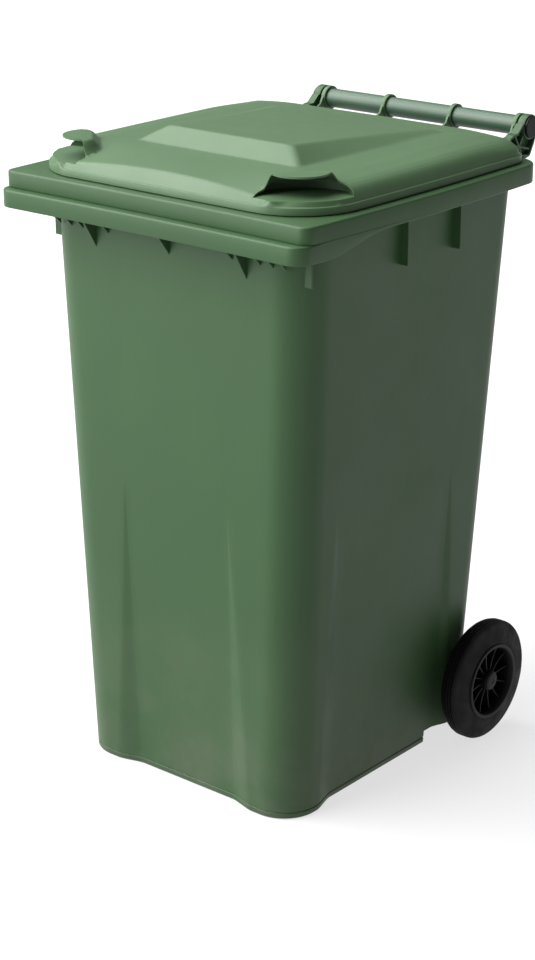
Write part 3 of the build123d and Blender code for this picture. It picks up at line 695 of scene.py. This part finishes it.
def bar_yz(start, end, width, x_low, x_high):
    """A straight bar of the lattice, between two points seen from the side."""
    start, end = np.array(start, float), np.array(end, float)
    along = (end - start) / np.linalg.norm(end - start)
    across = np.array((-along[1], along[0])) * width / 2
    return rib_yz([start + across, end + across, end - across, start - across], x_low, x_high)


def tube_hole(x_low, x_high, material):
    """A cutter that frees the space of the handle tube, inside a boss or ring round it."""
    angles = circle(48)
    points = np.column_stack([HANDLE[0] + RING_HOLE * np.cos(angles), HANDLE[1] + RING_HOLE * np.sin(angles)])
    return prism("cutter", points, 0, x_low, x_high, material)


def ring_x(name, inner, outer, x_low, x_high, material, centre=HANDLE):
    """A plain ring about an axis along X, with rounded outer edges."""
    shoulder, chamfer = outer - RING_EDGE, 0.3 * RING_EDGE
    profile = [
        (x_low, inner), (x_low, shoulder), (x_low + chamfer, outer - chamfer), (x_low + RING_EDGE, outer),
        (x_high - RING_EDGE, outer), (x_high - chamfer, outer - chamfer), (x_high, shoulder), (x_high, inner),
    ]
    return lathe(name, profile, centre, material, 72, 50)


for side, name in SIDES:
    low, high = sorted(side * x for x in BRACKET_X)
    bars = [rib_yz(BRACKET, *sorted(side * x for x in WEB_X))]
    bars += [bar_yz(*ends, BORDER_WIDTH, low, high) for ends in zip(BRACKET, BRACKET[1:] + BRACKET[:1])]
    bars += [bar_yz(*ends, STRUT_WIDTH, low, high) for ends in STRUTS]
    plates = joined("plates", bars)
    boolean(plates, tube_hole(low - 1, high + 1, body_green), "EXACT")
    boss = ring_x("boss", RING_IN, RING_OUT, low, high, body_green)
    bracket = joined(name + "_handle_bracket", [plates, boss])
    bevel(bracket, 0.5)
    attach(bracket, "container")

# ---------------------------------------------------------------- container: axle bosses

AXLE = axis_yz("axle")
BOSS_IN = 10.2
BOSS_OUT = 18.0
BOSS_X = (148.0, 221.0)
BOSS_RIB_X = (153.0, 197.0)
BOSS_RIB_Z = ((22.5, 84.0), (116.0, 150.5))

for side, name in SIDES:
    low, high = sorted(side * x for x in BOSS_X)
    boss = ring_x(name + "_axle_boss", BOSS_IN, BOSS_OUT, low, high, body_green, AXLE)
    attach(boss, "container")
ribs = []
for side in (1, -1):
    low, high = sorted(side * x for x in BOSS_RIB_X)
    for z_low, z_high in BOSS_RIB_Z:
        ribs.append(box_mesh("rib", (low, AXLE[0] - RIB / 2, z_low), (high, AXLE[0] + RIB / 2, z_high)))
boss_ribs = joined("boss_ribs", ribs)
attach(boss_ribs, "container")

# ---------------------------------------------------------------- lid: surface

lid_low, lid_high = box_mm("lid")
LID_BOW = 6.0
LID_HALF = lid_high[0] - LID_BOW
LID_FRONT = lid_low[1]
LID_REAR = 232.0
LID_FRONT_R = 100.0
LID_REAR_R = 40.0
LID_BOTTOM = lid_low[2]
LID_TOP = lid_high[2]
LID_WALL = 3.0
LID_EDGE_POINTS = 92
LID_ARC_POINTS = 34
FLANGE = 963.0
CROWN = 991.0
LEDGE = 3.4
DIAGONAL = math.sqrt(0.5)

# Heights over the inset: a thin flange that all edges share, then the bevel and the crown
FLANGE_EDGE = ((0, 962.2), (0.4, 962.8), (1, 963.1), (3.2, 963.4), (3.6, 963.9), (4, 965))
SIDE_EDGE = FLANGE_EDGE + (
    (5.6, 970.5), (7.8, 975), (11, 979.2), (15, 982.2), (21, 984.8), (30, 986.8), (60, 989.4), (119, 991),
    (300, 991),
)
REAR_EDGE = FLANGE_EDGE + (
    (5.8, 971.5), (8.5, 977), (12, 981), (17, 984), (24, 986.5), (36, 989), (60, 990.5), (300, 991),
)

# Close rings over the flange and the bevel, then even steps to the middle
LID_INSETS = [
    0.0, 0.4, 1.0, 2.0, 3.2, 3.5, 3.9, 4.6, 5.5, 6.5, 7.6, 8.8, 10.2, 11.8, 13.5, 15.2, 16.9, 18.4,
    19.6, 20.8, 22.2, 24, 26, 28.5, 31.5,
]
LID_INSETS += list(np.arange(35, 262, 2.4))

# The front bevel's depth in the middle and at its ends, and how far behind the edge the crown ends
BEVEL_RUN = (20.0, 10.0)
BEVEL_HALF = 180.0
BEVEL_SLOPE = 0.93
CROWN_RUN = 119.0

# The raised panel: its front edge and nose, its flanks, its rear and its top
PANEL_FRONT = -183.0
PANEL_LENGTH = 324.0
PANEL_HALF = 155.5
PANEL_WIDENING = 17.5
PANEL_TOP_START = -153.0
PANEL_TOP_SLOPE = 0.0585
NOSE_FOOT = -183.3
NOSE_SLOPE = 0.753
PANEL_REAR = 158.0
PANEL_REAR_SLOPE = 0.5

# The crown's rise towards the rear and where it happens, and its fall at the rear corners
REAR_RISE = 3.0
REAR_RISE_Y = (-184.0, 200.0)
CORNER_FALL = 6.0

# At a corner the edge profiles blend into each other about the diagonal
CORNER_BLEND = (0.3, 0.7)
CORNER_SOFTNESS = 4.0

# A hood over each grip, in the lid's corner: out runs outwards, across runs along the corner
GRIP = (LID_HALF - LID_FRONT_R, LID_FRONT + LID_FRONT_R)
HOOD_TOP = 1001.3
HOOD_HALF = 26.5
HOOD_BACK = 50.0
HOOD_R = 28.0
HOOD_RUN = 14.0
HOOD_SLOPE = 0.06
HOOD_SLOPE_END = 52.0
HOOD_END = (81.0, 90.0)


def lid_inset(x, y):
    """How far a point lies inside the lid's outline."""
    middle, half_depth = (LID_FRONT + LID_REAR) / 2, (LID_REAR - LID_FRONT) / 2
    along = (y - middle) / half_depth
    x = x / (1 + LID_BOW / LID_HALF * np.clip(1 - along**2, 0, 1))
    radius = np.where(y < middle, LID_FRONT_R, LID_REAR_R)
    qx = np.abs(x) - LID_HALF + radius
    qy = np.abs(y - middle) - half_depth + radius
    outside = np.hypot(np.maximum(qx, 0), np.maximum(qy, 0))
    return radius - outside - np.minimum(np.maximum(qx, qy), 0)


def profile_height(profile, inset):
    return np.interp(inset, *zip(*profile))


def front_height(x, inset):
    """The front edge: a ledge, a rounded bevel, taller in the middle, and a gentle rise."""
    bevel_run = mix(*BEVEL_RUN, np.minimum((np.abs(x) / BEVEL_HALF) ** 2, 1))
    crest = FLANGE + 0.3 + BEVEL_SLOPE * bevel_run
    share = np.clip((inset - bevel_run) / (CROWN_RUN - bevel_run), 0, 1)
    rise = crest + (CROWN - crest) * (1 - (1 - share) ** 1.6)
    past_crest = inset - bevel_run - 1.5
    up = np.clip((inset - LEDGE) / (bevel_run + 1.5 - LEDGE), 0, 1)
    bevel_z = FLANGE + 0.4 + (crest + 1.5 - FLANGE) * (1 - (1 - up) ** 1.3)
    bevel_z += np.maximum(past_crest, 0)
    return np.where(inset < LEDGE, profile_height(SIDE_EDGE, inset), soft_min(bevel_z, rise, 2.4))


def panel_height(x, y):
    """The raised centre panel: nose, flanks that flatten towards the rear, and a sloping top."""
    along = np.clip((y - PANEL_FRONT) / PANEL_LENGTH, 0, 1)
    top = LID_TOP - PANEL_TOP_SLOPE * (y - PANEL_TOP_START)
    flank = CROWN + (PANEL_HALF + PANEL_WIDENING * along - np.abs(x)) / (1.5 + 1.7 * along)
    nose = CROWN + (y - NOSE_FOOT) * NOSE_SLOPE
    back = CROWN + (PANEL_REAR - y) * PANEL_REAR_SLOPE
    return soft_min(soft_min(soft_min(flank, nose, 8.0), back, 6.0), top, 2.5)


def hood_share(out, across):
    """How much of a hood there is at a place in the lid's corner, from 0 to 1."""
    side_gap, inner_gap = np.abs(across) - HOOD_HALF, HOOD_BACK - out
    past = np.hypot(np.maximum(side_gap, 0), np.maximum(inner_gap, 0))
    inside = HOOD_R - past - np.minimum(np.maximum(side_gap, inner_gap), 0)
    return smoothstep(inside, 0.0, HOOD_RUN) * (1 - smoothstep(out, *HOOD_END))


def lid_height(x, y):
    """The lid's upper surface: edge profiles, crown, centre panel and the two hoods."""
    x, y = np.asarray(x, float), np.asarray(y, float)
    inset = lid_inset(x, y)
    to_side = np.maximum(LID_HALF - np.abs(x), 0) + CORNER_SOFTNESS
    to_rear = np.maximum(LID_REAR - y, 0) + CORNER_SOFTNESS
    to_front = np.maximum(y - LID_FRONT, 0) + CORNER_SOFTNESS
    front_share = smoothstep(to_side / (to_side + to_front), *CORNER_BLEND)
    rear_share = smoothstep(to_side / (to_side + to_rear), *CORNER_BLEND)
    z = mix(profile_height(SIDE_EDGE, inset), front_height(x, inset), front_share)
    z = mix(z, profile_height(REAR_EDGE, inset), rear_share)
    inner = np.clip(inset / 30, 0, 1)
    z += REAR_RISE * smoothstep(y, *REAR_RISE_Y) * inner * (1 - 0.25 * np.abs(x) / LID_HALF)
    corner = (1 - smoothstep(to_side, 0, 120)) * (1 - smoothstep(to_rear, 0, 150))
    z -= CORNER_FALL * corner * np.clip(inset / 12, 0, 1)
    z = soft_max(z, panel_height(x, y), 2.0)
    out = ((np.abs(x) - GRIP[0]) - (y - GRIP[1])) * DIAGONAL
    across = ((np.abs(x) - GRIP[0]) + (y - GRIP[1])) * DIAGONAL
    hood_z = HOOD_TOP + HOOD_SLOPE * np.minimum(out - HOOD_SLOPE_END, 0)
    share = hood_share(out, across)
    return z * (1 - share) + hood_z * share


def lid_ring(inset):
    front_r, rear_r = max(LID_FRONT_R - inset, 2), max(LID_REAR_R - inset, 2)
    size = (LID_HALF - inset, LID_FRONT + inset, LID_REAR - inset, front_r, rear_r)
    return outline(size, bow=LID_BOW, edge_points=LID_EDGE_POINTS, arc_points=LID_ARC_POINTS)


def under_height(z, inset):
    """The inner form follows the outer one but stays low near the edge."""
    return np.minimum(z, FLANGE - LID_WALL + inset * 1.1 + 3.0 * min(inset, 8.0) / 8.0)


def lid_solid(name, wall, bottom):
    """The lid's form as a solid, moved inwards by wall."""
    rings = [at_height(lid_ring(wall), bottom)]
    for inset in LID_INSETS:
        ring = lid_ring(wall + inset)
        z = lid_height(ring[:, 0] * (1 + wall / 300), ring[:, 1]) - wall
        if wall:
            z = under_height(z, inset)
        rings.append(at_height(ring, z))
    return stacked(name, rings, lid_green, sharp=40)


# ---------------------------------------------------------------- lid: grip pockets

POCKET_FLOOR = 970.5
POCKET_HALF = 70.0
POCKET_BACK = 57.0
POCKET_DEPTH = 52.0
BRIM_HALF = 39.4
BRIM_CENTRE = 38.0
BRIM_R = 41.6
ABOVE_LID = 1040.0
OUTSIDE = 150.0

# The pocket's edge beside the hood's brim, as (across, out)
WING = (
    (39.5, 51), (42, 49.6), (45, 48.8), (48, 47.9), (50.5, 46.6), (53, 46.4), (56, 47.6), (60.8, 52.2),
    (67.7, 60.8), (70, 63.5),
)


def corner_points(side, out, across, z):
    """Points in a lid corner from their places out and across, at a height."""
    x = side * (GRIP[0] + (out + across) * DIAGONAL)
    y = GRIP[1] + (across - out) * DIAGONAL
    return np.column_stack([x, y, np.broadcast_to(z, len(x))])


def pocket_cutter(side):
    """The space of a grip pocket: under its roof, and open above outside the hood's edge."""
    wings = np.linspace(39.6, POCKET_HALF, 34)
    across = np.concatenate([-wings[::-1], np.linspace(-39.2, 39.2, 61), wings])
    back = POCKET_BACK - POCKET_DEPTH * np.sqrt(np.clip(1 - (across / (POCKET_HALF + 0.2)) ** 2, 0, 1))
    round_brim = BRIM_CENTRE + np.sqrt(np.clip(BRIM_R**2 - across**2, 0, None))
    brim = np.where(np.abs(across) < BRIM_HALF, round_brim, profile_height(WING, np.abs(across)))
    brim = np.maximum(brim, back + 0.15)
    far = np.full(len(across), OUTSIDE)

    def roof(out):
        points = corner_points(side, out, across, 0)
        under_lid = lid_height(points[:, 0], points[:, 1]) - 2.8
        return np.maximum(under_lid, POCKET_FLOOR + 0.4)

    rings = [corner_points(side, back, across, POCKET_FLOOR)]
    for share in np.linspace(0, 1, 14):
        out = mix(back, brim, share)
        rings.append(corner_points(side, out, across, roof(out)))
    rings.append(corner_points(side, brim, across, ABOVE_LID))
    rings.append(corner_points(side, far, across, ABOVE_LID))
    rings.append(corner_points(side, far, across, POCKET_FLOOR))
    count, width = len(rings), len(across)
    faces = []
    for k in range(count):
        for i in range(width - 1):
            low, high = k * width, ((k + 1) % count) * width
            faces.append((low + i, low + i + 1, high + i + 1, high + i))
    faces.append(tuple(k * width for k in range(count)))
    faces.append(tuple(k * width + width - 1 for k in reversed(range(count))))
    return make_object("cutter", np.concatenate(rings), faces, lid_green)


def pocket_column(side):
    """The pocket's plan, a little larger, as a column that keeps the lid's hollow away from it."""
    angles = np.linspace(math.pi, 0, 60)
    half = POCKET_HALF + 5.0
    out = np.append(POCKET_BACK - (POCKET_DEPTH + LID_WALL) * np.sin(angles), (OUTSIDE, OUTSIDE))
    across = np.append(half * np.cos(angles), (half, -half))
    rings = [corner_points(side, out, across, z) for z in (POCKET_FLOOR - LID_WALL, ABOVE_LID)]
    return stacked("cutter", rings, lid_green)


lid = lid_solid("lid_shell", 0.0, LID_BOTTOM)
lid_hollow = lid_solid("lid_hollow", LID_WALL, LID_BOTTOM - 2)
for side in (1, -1):
    boolean(lid, pocket_cutter(side))
    boolean(lid_hollow, pocket_column(side))
boolean(lid, lid_hollow)
smooth_by_angle(lid, 38)
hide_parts("lid")
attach(lid, "lid")

# ---------------------------------------------------------------- lid: hinge arms

ARM_X = (-190.0, -66.0, 66.0, 190.0)
ARM = [(222, 956), (298, 957), (326, 960.4), (312, 990), (303, 980), (300, 973), (288, 967), (222, 966)]

arms = []
for x in ARM_X:
    arm = rib_yz(ARM, x - RIB / 2, x + RIB / 2, lid_green)
    boolean(arm, tube_hole(x - 3, x + 3, lid_green))
    arms += [arm, ring_x("ring", RING_IN, RING_OUT, x - RIB, x + RIB, lid_green)]
lid_arms = joined("lid_arms", arms)
bevel(lid_arms, 0.6)
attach(lid_arms, "lid")

# ---------------------------------------------------------------- wheels

TREAD = 100.0
GROOVE = 97.5

# Closed sections as (distance from the middle of the bin, radius)
TYRE = [
    (238.0, 60.6), (238.0, 84.0), (239.0, 88.0), (241.5, 92.2), (245.0, 95.8), (249.0, 98.4),
    (252.5, 99.6), (253.4, 99.9), (253.7, GROOVE), (255.3, GROOVE), (255.6, TREAD), (258.3, TREAD),
    (258.7, GROOVE), (260.3, GROOVE), (260.6, TREAD), (263.3, TREAD), (263.7, GROOVE), (265.3, GROOVE),
    (265.6, TREAD), (267.4, 99.8), (269.2, 98.9), (270.6, 97.2), (271.8, 94.0), (274.6, 80.0),
    (276.2, 72.0), (277.0, 68.0), (277.3, 66.0), (277.3, 63.6), (277.2, 60.6),
]
RIM = [
    (236.0, 56.2), (236.0, 60.4), (277.4, 60.4), (277.6, 62.4), (278.4, 63.0), (279.4, 62.4),
    (280.0, 61.0), (279.4, 57.6), (278.0, 56.4), (268.0, 54.6), (244.0, 54.0), (243.6, 50.0),
    (243.4, 19.0), (244.2, 17.4), (271.0, 16.6), (274.2, 16.2), (274.8, 15.4), (274.8, 10.15),
    (224.2, 10.15), (224.2, 16.4), (225.0, 17.0), (239.0, 17.0), (239.6, 19.0), (239.8, 52.0),
    (238.6, 55.0),
]
CAP = [
    (272.2, 0.01), (272.2, 9.9), (274.9, 9.9), (275.0, 14.4), (275.6, 15.0), (276.4, 14.8),
    (277.4, 13.2), (277.9, 10.0), (278.0, 5.0), (277.4, 4.2), (277.4, 0.01),
]

# The spokes: their front face as (radius, distance), their back, and their thickness
SPOKES = 12
SPOKE_TURN = 7.0
SPOKE_FRONT = ((15.5, 268.5), (30.0, 267.6), (45.0, 268.4), (57.0, 271.0))
SPOKE_BACK = 242.5
SPOKE_HALF = (1.9, 1.3, 0.7)

# The latch's tower on the rim's hub, as (height, radius)
TOWER_X = 231.0
TOWER = ((114.0, 6.5), (133.2, 6.5), (134.0, 5.7), (134.0, 3.1), (114.0, 3.1))

# CAD pieces that show as they are
PLAIN_NODES = (
    ("handle_plug", black_plastic),
    ("axle_washer", black_plastic),
    ("latch_plunger", zinc_steel),
    ("latch_spring", zinc_steel),
)


def spoke(side, degrees):
    """A spoke that thins towards its front face, at an angle round the axle."""
    angle = math.radians(degrees)
    foot, shoulder, tip = SPOKE_HALF
    rings = []
    for radius, top in SPOKE_FRONT:
        ring = []
        for x, half in (
            (SPOKE_BACK, foot), (top - 0.8, shoulder), (top, tip),
            (top, -tip), (top - 0.8, -shoulder), (SPOKE_BACK, -foot),
        ):
            y = AXLE[0] + radius * math.cos(angle) - half * math.sin(angle)
            z = AXLE[1] + radius * math.sin(angle) + half * math.cos(angle)
            ring.append((side * x, y, z))
        rings.append(np.array(ring))
    return stacked("spoke", rings, black_plastic)


def latch_tower(side):
    angles = circle(40)
    rings = []
    for z, radius in TOWER:
        x = side * TOWER_X + radius * np.cos(angles)
        rings.append(np.column_stack([x, AXLE[0] + radius * np.sin(angles), np.full(len(angles), z)]))
    return stacked("tower", rings, black_plastic, loop=True)


def mirrored(side, profile):
    return [(side * x, radius) for x, radius in profile]


for side, name in SIDES:
    tyre = lathe(name + "_tyre_body", mirrored(side, TYRE), AXLE, tyre_rubber, 144, 30)
    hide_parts(name + "_tyre")
    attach(tyre, name + "_wheel")
    rim = lathe(name + "_rim_body", mirrored(side, RIM), AXLE, black_plastic, 120, 34)
    spokes = [spoke(side, 360 / SPOKES * k + SPOKE_TURN) for k in range(SPOKES)]
    rim = joined(name + "_spoked_rim", [rim, latch_tower(side)] + spokes)
    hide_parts(name + "_wheel_rim")
    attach(rim, name + "_wheel")
    cap = lathe(name + "_cap_body", mirrored(side, CAP), AXLE, black_plastic, 72, 34)
    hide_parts(name + "_hub_cap")
    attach(cap, name + "_wheel")
    for node, material in PLAIN_NODES:
        paint(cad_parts[name + "_" + node], material)

paint(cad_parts["handle_tube"], handle_green)
paint(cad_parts["axle"], zinc_steel)

# ---------------------------------------------------------------- floor

FLOOR_HALF = 90000.0
FLOOR_TOP = -0.5
floor_corners = [(x * FLOOR_HALF, y * FLOOR_HALF, FLOOR_TOP) for x, y in ((-1, -1), (1, -1), (1, 1), (-1, 1))]
floor = make_object("floor", floor_corners, [(0, 1, 2, 3)], studio_floor("floor"))
